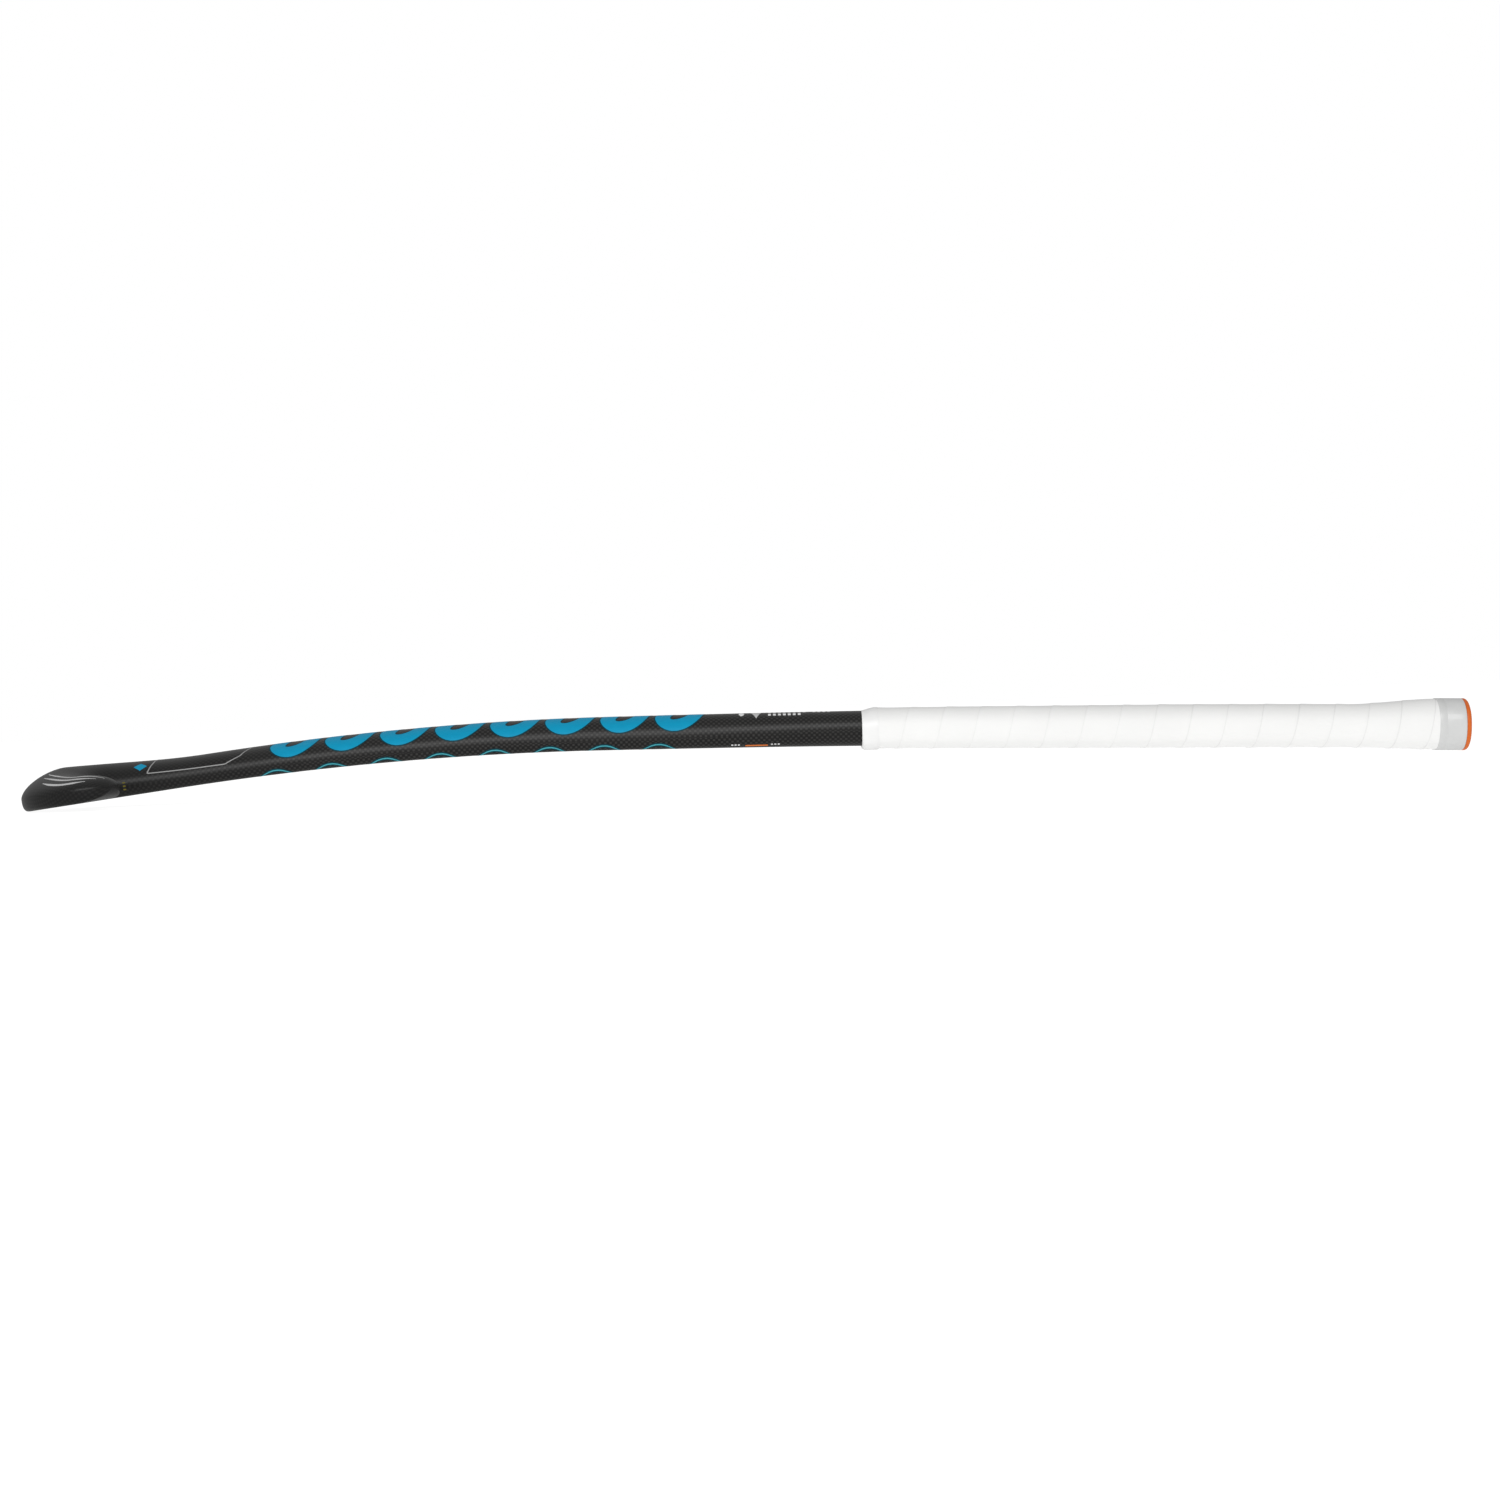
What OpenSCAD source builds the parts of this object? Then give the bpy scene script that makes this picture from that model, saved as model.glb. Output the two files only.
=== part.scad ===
// Composite field hockey stick, lying on its playing face.
// +X runs from the head to the butt, -Y points from the shaft to the toe and +Z is the rounded back.
// The origin is on the floor, under the middle of the stick. All sizes are in millimetres.
//
// The stick is laid out flat first: u runs along the shaft from the lowest point of the head,
// v runs across it and h rises from the playing face to the back. bend() then bows it.

/* [Overall] */
// Length from the bottom of the head to the outside of the end cap
stick_len = 927; // [900:1:970]

/* [Bow] */
// Length of straight face before the bow begins
bow_start = 95; // [80:5:150]
// Station where the bow ends and the handle begins to straighten
bow_end = 370; // [300:5:450]
// Radius of the bow along the shaft
bow_r = 2040; // [1900:10:3000]
// Radius of the slight bow that the handle keeps
handle_r = 22000; // [15000:500:40000]

/* [Hook] */
// Radius of the hook's centreline
hook_r = 33; // [32:0.5:36]
// Width of the head across the hook
head_w = 46; // [42:0.5:46]
// Angle that the hook turns through before its rounded tip
hook_turn = 160; // [140:5:170]
// Length of the rounded tip of the toe
tip_len = 22; // [16:1:26]
// Width of the toe where its tip begins
toe_w = 42; // [38:0.5:44]

/* [Thickness] */
// Thickness of the head from face to back
head_t = 24.6; // [22:0.1:25]
// Thickness of the toe where its tip begins
toe_t = 17; // [15:0.5:20]
// Thickness of the shaft at its thinnest, just above the head
neck_t = 19.2; // [18:0.1:21]
// Thickness of the handle under the grip
handle_t = 24.5; // [22:0.1:26]
// Width of the handle under the grip
handle_w = 30.5; // [29:0.5:33]
// Drop of the handle's lower side below the line of the face
handle_drop = 1.3; // [0:0.1:2]
// Growth in thickness towards the butt
flare_t = 4.8; // [4:0.2:7]
// Growth in width towards the butt
flare_w = 3.2; // [2:0.2:5]
// Height of the widest line of the head above the face
head_ridge = 8; // [7:0.5:10]

/* [Laminate] */
// Wall of the outer laminate on the shaft
shaft_wall = 1.8; // [1.4:0.1:2.4]
// Wall of the outer laminate in the head
head_wall = 2.8; // [2:0.1:3.5]
// Wall of each inner tube
tube_wall = 0.9; // [0.7:0.1:1.2]
// Wall of the reinforcement round the head's core
sleeve_wall = 1.1; // [0.8:0.1:1.5]

/* [Grip] */
// Station where the grip begins
grip_start = 534.6; // [480:0.2:600]
// Depth that the handle is let in below the shaft for the grip
rebate = 0.5; // [0.3:0.1:0.6]
// Thickness of the foam under the tape
cushion_t = 1.2; // [0.8:0.1:1.6]
// Thickness of the grip tape
tape_t = 1.1; // [0.8:0.1:1.4]
// Thickness of the bands at the two ends of the grip
band_t = 0.4; // [0.3:0.1:0.8]
// Length of the finishing tape at the lower end of the grip
finish_len = 11; // [8:1:20]
// Length of the band at the butt
collar_len = 17.5; // [10:0.5:20]
// Thickness of the end cap's disc
cap_t = 3.6; // [2:0.1:4]

/* [Hidden] */
// Clearance left between pieces that are bonded to each other
fit = 0.04;
spigot_r = 5;
spigot_len = 14;
plug_len = 40;
// Bevel of each tube where its flat web meets the skin
web_bevel = 2.5;
// Angle round the back, from the outer edge, at which a tube's round side meets that bevel
web_angle = 76;
// Gap between the tubes and what fills the head and the butt
tube_gap = 3;
// Sides of the spigot and its hole
peg_sides = 48;
// Where each layer of the grip begins, past the step in the laminate
cushion_start = 1;
tape_start = 0.6;
band_start = 0.3;

// Depths below the shaft's full surface, where a negative depth stands proud of it
cushion_out = rebate - cushion_t;
tape_out = cushion_out - tape_t;
band_out = tape_out - band_t;

butt_end = stick_len - cap_t;
hook_u = hook_r + head_w / 2;
hook_q = hook_u - hook_r * hook_turn * PI / 180;
neck_q = 113;
// Stations between which the head, the width, the widest line, the flat, the drop, the wall and
// the flare change
head_run = [10, 110];
width_run = [80, 620];
ridge_run = [380, 560];
flat_run = [330, 600];
drop_run = [480, 740];
wall_run = [60, 120];
flare_run = [850, 909];
// Stations on the hook from which the toe narrows and thins
narrow_from = 4;
thin_from = 20;
// Height of the widest line as a share of the thickness, on the shaft and on the handle
shaft_ridge = 0.28;
handle_ridge = 0.48;
// Share of the width that is flat on the face, on the shaft and on the handle
shaft_flat = 0.78;
handle_flat = 0.12;
// Share of the flare that goes below the face line
flare_below = 0.25;
core_end = 100;
tube_start = core_end + tube_gap;
tube_end = butt_end - plug_len - tube_gap;

// Shape of the rounded back and of the edges of the face, as powers of a superellipse
shaft_power = 2.1;
head_power = 1.7;
edge_power = 2.3;
head_edge_power = 3.2;
back_steps = 14;
edge_steps = 6;
// Steps of the same curves on an inner tube
tube_back_steps = 4;
tube_edge_steps = 3;

// ---- Laws along the stick. q is the distance along its centreline, equal to u on the shaft.

// Smooth change from 0 to 1 as x goes through a run
function blend(x, run) = let(t = min(max((x - run[0]) / (run[1] - run[0]), 0), 1))
    t * t * (3 - 2 * t);

// Shares of the butt's flare and of the head's and the toe's own shape
function flare(q) = blend(q, flare_run);
function head_share(q) = 1 - blend(q, head_run);
function toe_share(q, from) = blend(-q, [-from, -hook_q]);

function width(q) = head_w - (head_w - handle_w) * blend(q, width_run)
    - (head_w - toe_w) * toe_share(q, narrow_from) + flare_w * flare(q);

function thickness(q) =
    neck_t + (handle_t - neck_t) * min(max(q - neck_q, 0) / (drop_run[1] - neck_q), 1)
    + (head_t - neck_t) * head_share(q) - (head_t - toe_t) * toe_share(q, thin_from)
    + flare_t * flare(q);

// Height of the section's widest line above its lower side
function ridge(q) = head_ridge * head_share(q)
    + thickness(q) * (1 - head_share(q))
    * (shaft_ridge + (handle_ridge - shaft_ridge) * blend(q, ridge_run));

// Share of the width that is flat on the playing face
function flat_share(q) = shaft_flat - (shaft_flat - handle_flat) * blend(q, flat_run);

// Drop of the lower side below the face line, along the handle and at the flared butt
function sink(q) = handle_drop * blend(q, drop_run) + flare_below * flare_t * flare(q);

// Depths of the laminate's outer and inner surfaces
function skin(q) = q > grip_start ? rebate : 0;
function cavity(q) = skin(q) + shaft_wall + (head_wall - shaft_wall) * (1 - blend(q, wall_run));

// ---- The bow

// Drop of the face line below its straight start, and how fast it drops
function drop(u) = let(a = max(u - bow_start, 0), b = max(u - bow_end, 0))
    a * a / (2 * bow_r) - b * b * (1 / bow_r - 1 / handle_r) / 2;
function drop_slope(u) = max(u - bow_start, 0) / bow_r
    - max(u - bow_end, 0) * (1 / bow_r - 1 / handle_r);

// A point of the flat layout on the bowed stick, whose straight start rises by lift
function bow(p, lift) = let(a = atan(lift - drop_slope(p[0])))
    [p[0] - p[2] * sin(a), p[1], lift * p[0] - drop(p[0]) + p[2] * cos(a)];

// ---- Sections, as [across, height] points that run round from the outer edge over the back

function back_power(q) = shaft_power - (shaft_power - head_power) * head_share(q);
function back_point(half, rise, base, power, t) =
    [half * sign(cos(t)) * pow(abs(cos(t)), 2 / power),
        base + rise * pow(abs(sin(t)), 2 / power)];
function face_edge_power(q) = edge_power + (head_edge_power - edge_power) * head_share(q);
function edge_point(half, flat, fall, base, power, side, t) =
    [side * (flat + (half - flat) * pow(cos(t), 2 / power)),
        base - fall * pow(sin(t), 2 / power)];

// The whole section drawn in by depth, then scaled across, above and below its widest line
function section(q, depth, wide = 1, high = 1, deep = 1) =
    let(half = (width(q) / 2 - depth) * wide,
        flat = width(q) / 2 * flat_share(q) * wide,
        base = ridge(q) - sink(q),
        rise = (thickness(q) - ridge(q) - depth) * high,
        fall = (ridge(q) - depth) * deep)
    concat([for (i = [0:back_steps])
            back_point(half, rise, base, back_power(q), 180 * i / back_steps)],
        [for (i = [1:edge_steps])
            edge_point(half, flat, fall, base, face_edge_power(q), -1, 90 * i / edge_steps)],
        [for (i = [edge_steps:-1:1])
            edge_point(half, flat, fall, base, face_edge_power(q), 1, 90 * i / edge_steps)]);

// The half of a section on the heel side of the web plane, with a flat side along the web
function half_section(q, depth, web) =
    let(half = width(q) / 2 - depth,
        flat = width(q) / 2 * flat_share(q),
        base = ridge(q) - sink(q),
        rise = thickness(q) - ridge(q) - depth,
        fall = ridge(q) - depth)
    concat([for (i = [0:tube_back_steps])
            back_point(half, rise, base, back_power(q), web_angle * i / tube_back_steps)],
        [[web, base + rise - web_bevel], [web, base - fall + web_bevel],
            [web + web_bevel, base - fall]],
        [for (i = [tube_edge_steps:-1:1])
            edge_point(half, flat, fall, base, face_edge_power(q), 1, 90 * i / tube_edge_steps)]);
function mirrored(points) = [for (i = [len(points) - 1:-1:0]) [-points[i][0], points[i][1]]];

// ---- The centreline: straight along the shaft, then round the hook to the toe

function hook_angle(q) = min(max((hook_u - q) / hook_r * 180 / PI, 0), hook_turn);

// Section points placed at q, or beyond the end of the hook
function place(points, q, beyond = 0) =
    let(a = hook_angle(q),
        u = max(q, hook_u) - hook_r * sin(a) - beyond * cos(a),
        v = hook_r * cos(a) - hook_r - beyond * sin(a))
    [for (p = points) [u - p[0] * sin(a), v + p[0] * cos(a), p[1]]];

function ring(q, depth) = place(section(q, depth), q);

// Rings of the toe's rounded tip, as k goes from 0 at its start to 1 at its point. Its width, its
// back and its face each close along a superellipse of their own power.
plan_power = 2.2;
dome_power = 2;
face_power = 3;
function closing(s, power) = pow(1 - pow(s, power), 1 / power);
function tip_ring(depth, k) = let(s = sin(90 * k))
    place(section(hook_q, depth, closing(s, plan_power), closing(s, dome_power),
        closing(s, face_power)), hook_q, (tip_len - depth) * s);
function tip_point(depth) = place([[0, ridge(hook_q)]], hook_q, tip_len - depth);

// ---- Stations

function steps(from, to, n) = [for (i = [0:n - 1]) from + (to - from) * i / n];
step_q = grip_start + 0.2;
flare_start = flare_run[0];
handle_stations = concat(steps(butt_end, flare_start, 11), steps(flare_start, step_q, 6), [step_q]);
shaft_stations = concat([grip_start], steps(grip_start - 16, core_end, 19));
head_stations = concat(steps(core_end, hook_u, 4), steps(hook_u, hook_q, 16));
tip_shares = [0, 0.2, 0.4, 0.58, 0.74, 0.88];
function between(list, high, low) = concat([high], [for (q = list) if (q < high && q > low) q],
    [low]);

// Rings of the end cap's disc as [share of its thickness, depth below its full size]. Its inner
// rim is eased and its outer rim is domed.
cap_profile = [[0, 0.3], [0.14, 0], [0.47, 0.05], [0.7, 0.6], [0.88, 1.8], [1, 4.6]];
cap_rings = [for (c = cap_profile) ring(butt_end + cap_t * c[0], band_out + c[1])];

// ---- Place on the floor: the lift that lowers the butt to it, and the shift to the origin

function low(points, i) = min([for (p = points) p[i]]);
function high(points, i) = max([for (p = points) p[i]]);
function flatten(lists) = [for (l = lists) for (x = l) x];
rest_q = butt_end + 0.5;
head_rings = concat([for (q = head_stations) ring(q, 0)],
    [for (k = tip_shares) tip_ring(0, k)]);
first_lift = (drop(rest_q) + sink(rest_q) - band_out) / rest_q;
head_low = low([for (p = flatten(head_rings)) bow(p, first_lift)], 2);
lift = first_lift + head_low / rest_q;
outline = [for (p = flatten(concat(head_rings, cap_rings))) bow(p, lift)];
shift = [(low(outline, 0) + high(outline, 0)) / 2, (low(outline, 1) + high(outline, 1)) / 2,
    low(outline, 2)];
function bend(points) = [for (p = points) bow(p, lift) - shift];

// ---- Solids from rings

// Triangles between rings i and j of n points each, turned outwards or inwards
function band(i, j, n, inwards = false) = [for (k = [0:n - 1])
    let(m = (k + 1) % n, a = i * n + k, b = i * n + m, c = j * n + m, d = j * n + k)
    for (t = inwards ? [[a, d, c], [a, c, b]] : [[a, c, d], [a, b, c]]) t];

// Triangles from ring i to one point
function fan(i, n, point, inwards = false) = [for (k = [0:n - 1])
    let(a = i * n + k, b = i * n + (k + 1) % n) inwards ? [b, a, point] : [a, b, point]];

// Solid through a list of rings, flat at its near end and flat or pointed at its far end
module solid(rings, tip = []) {
    n = len(rings[0]);
    last = len(rings) - 1;
    far = len(tip) == 0 ? [[for (k = [0:n - 1]) last * n + k]] : fan(last, n, (last + 1) * n);
    polyhedron(points = concat(flatten(rings), tip),
        faces = concat([[for (k = [n - 1:-1:0]) k]], far,
            [for (i = [0:last - 1]) for (t = band(i, i + 1, n)) t]));
}

// Tube between outer and inner rings, open at its near end and open or pointed at its far end
module shell(outer, inner, tips = []) {
    n = len(outer[0]);
    m = len(outer);
    last = 2 * m - 1;
    far = len(tips) == 0 ? band(m - 1, last, n)
        : concat(fan(m - 1, n, 2 * m * n), fan(last, n, 2 * m * n + 1, true));
    polyhedron(points = concat(flatten(outer), flatten(inner), tips),
        faces = concat(band(0, m, n, true), far,
            [for (i = [0:m - 2]) for (t = band(i, i + 1, n)) t],
            [for (i = [m:last - 1]) for (t = band(i, i + 1, n, true)) t]));
}

// Sleeve round the handle between two depths, from one station down to another
module sleeve(from, to, out, in) {
    stations = between(handle_stations, from, to);
    shell([for (q = stations) bend(ring(q, out))], [for (q = stations) bend(ring(q, in))]);
}

// Round peg on the butt's centreline that reaches into the stick from its end
module peg(r, length) {
    q = butt_end + fit;
    slope = atan(lift - drop_slope(q));
    translate(bend([[q, 0, thickness(q) / 2 - sink(q)]])[0])
        rotate([0, -90 - slope, 0])
            cylinder(h = length, r = r, $fn = peg_sides);
}

// ---- Parts

// Carbon skin, from the toe to the open butt
module outer_laminate() {
    stations = concat(handle_stations, shaft_stations, head_stations);
    color("#2c2b2a")
        shell(concat([for (q = stations) bend(ring(q, skin(q)))],
                [for (k = tip_shares) bend(tip_ring(0, k))]),
            concat([for (q = stations) bend(ring(q, cavity(q)))],
                [for (k = tip_shares) bend(tip_ring(cavity(hook_q), k))]),
            [bend(tip_point(0))[0], bend(tip_point(cavity(hook_q)))[0]]);
}

// One of the two tubes inside the shaft, whose flat sides meet as the stick's inner web
module inner_tube(toe_side) {
    stations = between(concat(handle_stations, shaft_stations), tube_end, tube_start);
    function wall(q, depth, web) = let(s = half_section(q, cavity(q) + fit + depth, web))
        bend(place(toe_side ? mirrored(s) : s, q));
    shell([for (q = stations) wall(q, 0, fit / 2)],
        [for (q = stations) wall(q, tube_wall, fit / 2 + tube_wall)]);
}

module toe_side_tube() {
    color("#3a3a3e") inner_tube(true);
}

module heel_side_tube() {
    color("#45454a") inner_tube(false);
}

// Surface inside the head at a depth below the laminate's inner wall, with its tip
function head_inside(depth) = let(d = depth + cavity(hook_q))
    concat([for (q = between(head_stations, core_end, hook_q + 0.01))
            bend(ring(q, depth + cavity(q)))],
        [for (k = tip_shares) bend(tip_ring(d, k))]);
function inside_tip(depth) = bend(tip_point(depth + cavity(hook_q)));

// Tough ply wrapped round the core, open towards the shaft
module head_reinforcement() {
    color("#c9a93b")
        shell(head_inside(fit), head_inside(fit + sleeve_wall),
            concat(inside_tip(fit), inside_tip(fit + sleeve_wall)));
}

// Foam that fills the hook
module head_core() {
    depth = 2 * fit + sleeve_wall;
    color("#e4dcc4") solid(head_inside(depth), inside_tip(depth));
}

// Foam plug that closes the butt and holds the end cap's spigot
module butt_plug() {
    stations = between(handle_stations, butt_end - fit, butt_end - plug_len);
    color("#d8cfae")
        difference() {
            solid([for (q = stations) bend(ring(q, cavity(q) + fit))]);
            peg(spigot_r + fit, spigot_len + 1);
        }
}

// Orange disc with the spigot that holds it in the plug
module end_cap() {
    color("#dc662a") {
        solid([for (i = [len(cap_rings) - 1:-1:0]) bend(cap_rings[i])]);
        peg(spigot_r, spigot_len);
    }
}

// Foam sleeve under the tape
module grip_cushion() {
    color("#f2efe6") sleeve(butt_end - fit, grip_start + cushion_start, cushion_out,
        rebate - fit);
}

// Wrapped grip tape, as one even sleeve
module grip_tape() {
    color("#f6f6f4") sleeve(butt_end - fit, grip_start + tape_start, tape_out,
        cushion_out - fit);
}

// Tape that finishes the lower end of the grip
module finishing_tape() {
    color("#fafafa")
        sleeve(grip_start + finish_len, grip_start + band_start, band_out, tape_out - fit);
}

// Band round the top of the grip, next to the end cap
module butt_collar() {
    color("#d8d8da") sleeve(butt_end - fit, butt_end - collar_len, band_out, tape_out - fit);
}

outer_laminate();
toe_side_tube();
heel_side_tube();
head_reinforcement();
head_core();
butt_plug();
end_cap();
grip_cushion();
grip_tape();
finishing_tape();
butt_collar();
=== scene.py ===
"""Looks of a composite field hockey stick that lies on its playing face.

The stick is laid out flat first, as in the CAD source: q runs along its centreline from the
toe round the hook to the butt, and a section at q gives points [across, height]. The bow law
then bends the layout. Every visible piece is lofted from that one surface, in millimetres,
and goes to Blender in metres.
"""
import math

import bmesh
import bpy
import numpy as np
from mathutils import Matrix, Vector


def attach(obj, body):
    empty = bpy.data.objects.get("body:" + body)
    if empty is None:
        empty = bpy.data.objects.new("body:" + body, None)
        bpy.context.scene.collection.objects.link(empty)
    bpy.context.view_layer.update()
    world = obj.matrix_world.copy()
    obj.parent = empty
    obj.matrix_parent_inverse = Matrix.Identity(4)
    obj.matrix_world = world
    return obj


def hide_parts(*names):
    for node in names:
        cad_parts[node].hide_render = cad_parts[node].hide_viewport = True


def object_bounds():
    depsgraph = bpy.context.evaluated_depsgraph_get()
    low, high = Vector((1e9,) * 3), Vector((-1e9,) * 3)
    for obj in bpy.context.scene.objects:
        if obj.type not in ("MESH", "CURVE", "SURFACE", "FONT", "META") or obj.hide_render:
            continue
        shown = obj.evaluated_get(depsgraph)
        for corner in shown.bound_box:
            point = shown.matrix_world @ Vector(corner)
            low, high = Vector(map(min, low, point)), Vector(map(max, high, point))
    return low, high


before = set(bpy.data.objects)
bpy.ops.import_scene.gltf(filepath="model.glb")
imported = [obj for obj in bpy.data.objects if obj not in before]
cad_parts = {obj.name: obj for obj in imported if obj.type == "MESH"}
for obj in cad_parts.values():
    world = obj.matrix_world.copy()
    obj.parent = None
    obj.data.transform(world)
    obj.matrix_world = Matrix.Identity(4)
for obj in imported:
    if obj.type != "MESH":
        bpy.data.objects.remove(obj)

cad_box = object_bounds()
MM = 0.001

# ---- Driving dimensions, the same as the CAD source's, in millimetres

STICK_LEN = 927.0
BOW_START, BOW_END, BOW_R, HANDLE_R = 95.0, 370.0, 2040.0, 22000.0
HOOK_R, HEAD_W, HOOK_TURN, TIP_LEN, TOE_W = 33.0, 46.0, math.radians(160), 22.0, 42.0
HEAD_T, TOE_T, NECK_T, HANDLE_T, HANDLE_W = 24.6, 17.0, 19.2, 24.5, 30.5
HANDLE_DROP, FLARE_T, FLARE_W, HEAD_RIDGE = 1.3, 4.8, 3.2, 8.0
SHAFT_WALL, HEAD_WALL = 1.8, 2.8
GRIP_START, REBATE, CUSHION_T, TAPE_T, BAND_T = 534.6, 0.5, 1.2, 1.1, 0.4
FINISH_LEN, COLLAR_LEN, CAP_T = 11.0, 17.5, 3.6
SHAFT_POWER, HEAD_POWER, EDGE_POWER, HEAD_EDGE_POWER = 2.1, 1.7, 2.3, 3.2
NECK_Q = 113.0
FLARE_RUN, HEAD_RUN, WIDTH_RUN, WALL_RUN = (850, 909), (10, 110), (80, 620), (60, 120)
RIDGE_RUN, FLAT_RUN, DROP_RUN = (380, 560), (330, 600), (480, 740)
NARROW_FROM, THIN_FROM, FLARE_BELOW = 4, 20, 0.25
SHAFT_RIDGE, HANDLE_RIDGE, SHAFT_FLAT, HANDLE_FLAT = 0.28, 0.48, 0.78, 0.12
PLAN_POWER, DOME_POWER, FACE_POWER = 2.2, 2.0, 3.0
CUSHION_START, TAPE_START, BAND_START, FIT = 1.0, 0.6, 0.3, 0.04
SPIGOT_R, SPIGOT_LEN = 5.0, 14.0

BUTT_END = STICK_LEN - CAP_T
HOOK_U = HOOK_R + HEAD_W / 2
HOOK_Q = HOOK_U - HOOK_R * HOOK_TURN
CUSHION_OUT = REBATE - CUSHION_T
TAPE_OUT = CUSHION_OUT - TAPE_T
BAND_OUT = TAPE_OUT - BAND_T


# ---- Laws along the stick

def blend(x, a, b):
    t = np.clip((x - a) / (b - a), 0, 1)
    return t * t * (3 - 2 * t)


def flare(q):
    return blend(q, *FLARE_RUN)


def head_share(q):
    return 1 - blend(q, *HEAD_RUN)


def toe_share(q, start):
    return blend(-q, -start, -HOOK_Q)


def width(q):
    return (HEAD_W - (HEAD_W - HANDLE_W) * blend(q, *WIDTH_RUN)
            - (HEAD_W - TOE_W) * toe_share(q, NARROW_FROM) + FLARE_W * flare(q))


def thickness(q):
    up_the_shaft = np.clip((q - NECK_Q) / (DROP_RUN[1] - NECK_Q), 0, 1)
    return (NECK_T + (HANDLE_T - NECK_T) * up_the_shaft
            + (HEAD_T - NECK_T) * head_share(q) - (HEAD_T - TOE_T) * toe_share(q, THIN_FROM)
            + FLARE_T * flare(q))


def ridge(q):
    """Height of the widest line of a section above its lower side."""
    head = head_share(q)
    share = SHAFT_RIDGE + (HANDLE_RIDGE - SHAFT_RIDGE) * blend(q, *RIDGE_RUN)
    return HEAD_RIDGE * head + thickness(q) * share * (1 - head)


def flat_share(q):
    return SHAFT_FLAT - (SHAFT_FLAT - HANDLE_FLAT) * blend(q, *FLAT_RUN)


def sink(q):
    """Drop of the lower side below the line of the face."""
    return HANDLE_DROP * blend(q, *DROP_RUN) + FLARE_BELOW * FLARE_T * flare(q)


def skin_depth(q):
    return np.where(q > GRIP_START, REBATE, 0.0)


def cavity_depth(q):
    return skin_depth(q) + SHAFT_WALL + (HEAD_WALL - SHAFT_WALL) * (1 - blend(q, *WALL_RUN))


def drop(u):
    a, b = np.maximum(u - BOW_START, 0), np.maximum(u - BOW_END, 0)
    return a * a / (2 * BOW_R) - b * b * (1 / BOW_R - 1 / HANDLE_R) / 2


def drop_slope(u):
    return (np.maximum(u - BOW_START, 0) / BOW_R
            - np.maximum(u - BOW_END, 0) * (1 / BOW_R - 1 / HANDLE_R))


# ---- Sections. w runs round a section: 0 on top of the back, 1 at the widest line, 2 where the
# flat face begins and 3 on the middle of the face. Negative w is the side of the toe.

def section(q, w, depth=0.0, wide=1.0, high=1.0, deep=1.0):
    """Across and height of the section's point w, drawn in by depth and scaled about its middle."""
    side, m = np.sign(w), np.abs(w)
    half = (width(q) / 2 - depth) * wide
    flat = width(q) / 2 * flat_share(q) * wide
    rise = (thickness(q) - ridge(q) - depth) * high
    fall = (ridge(q) - depth) * deep
    power = SHAFT_POWER - (SHAFT_POWER - HEAD_POWER) * head_share(q)
    edge_power = EDGE_POWER + (HEAD_EDGE_POWER - EDGE_POWER) * head_share(q)
    back = np.clip(m, 0, 1) * math.pi / 2
    edge = np.clip(m - 1, 0, 1) * math.pi / 2
    across = np.where(m <= 1, half * np.sin(back) ** (2 / power),
                      flat + (half - flat) * np.abs(np.cos(edge)) ** (2 / edge_power))
    across = np.where(m > 2, flat * (3 - m), across)
    height = np.where(m <= 1, rise * np.abs(np.cos(back)) ** (2 / power),
                      -fall * np.sin(edge) ** (2 / edge_power))
    return side * across, ridge(q) - sink(q) + height


def laid_out(q, across, height, beyond=0.0):
    """Flat layout [u, v, h] of section points, or beyond the end of the hook."""
    a = np.clip((HOOK_U - q) / HOOK_R, 0, HOOK_TURN)
    u = np.maximum(q, HOOK_U) - (HOOK_R + across) * np.sin(a) - beyond * np.cos(a)
    v = (HOOK_R + across) * np.cos(a) - HOOK_R - beyond * np.sin(a)
    return u, v, height + 0 * u


def bowed(u, v, h, lift):
    a = np.arctan(lift - drop_slope(u))
    return np.stack([u - h * np.sin(a), v, lift * u - drop(u) + h * np.cos(a)], -1)


def raw_skin(q, w, lift, depth=0.0):
    return bowed(*laid_out(q, *section(q, w, depth)), lift)


# ---- The lift that lowers the butt to the floor, and the shift into the CAD frame

ROUND = np.linspace(-3, 3, 241)
hook_q, hook_w = np.meshgrid(np.linspace(HOOK_Q, 110, 120), ROUND, indexing="ij")
rest_q = BUTT_END + 0.5
first_lift = (drop(rest_q) + sink(rest_q) - BAND_OUT) / rest_q
LIFT = first_lift + raw_skin(hook_q, hook_w, first_lift)[..., 2].min() / rest_q
head_low = raw_skin(hook_q, hook_w, LIFT).min(axis=(0, 1))
cap_low = raw_skin(np.full(241, BUTT_END + 0.5), ROUND, LIFT, BAND_OUT).min(axis=0)
SHIFT = np.array([head_low[0] - cad_box[0][0] / MM, HEAD_W / 2 - cad_box[1][1] / MM,
                  min(head_low[2], cap_low[2])])


def bend(u, v, h):
    """Flat layout in millimetres to the CAD frame in metres."""
    return (bowed(u, v, h, LIFT) - SHIFT) * MM


def skin(q, w, depth=0.0, scale=1.0):
    """Point w of the section at q, in the CAD frame. The toe's tip goes on below HOOK_Q."""
    s = np.clip((HOOK_Q - q) / TIP_LEN, 0, 1)
    wide, high, deep = ((1 - s ** power) ** (1 / power) * scale
                        for power in (PLAN_POWER, DOME_POWER, FACE_POWER))
    on = np.maximum(q, HOOK_Q)
    return bend(*laid_out(on, *section(on, w, depth, wide, high, deep), (TIP_LEN - depth) * s))


# ---- Girth: g is the distance round a section from the top of the back, f from the middle
# of the face. Both are negative on the side of the toe.

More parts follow.
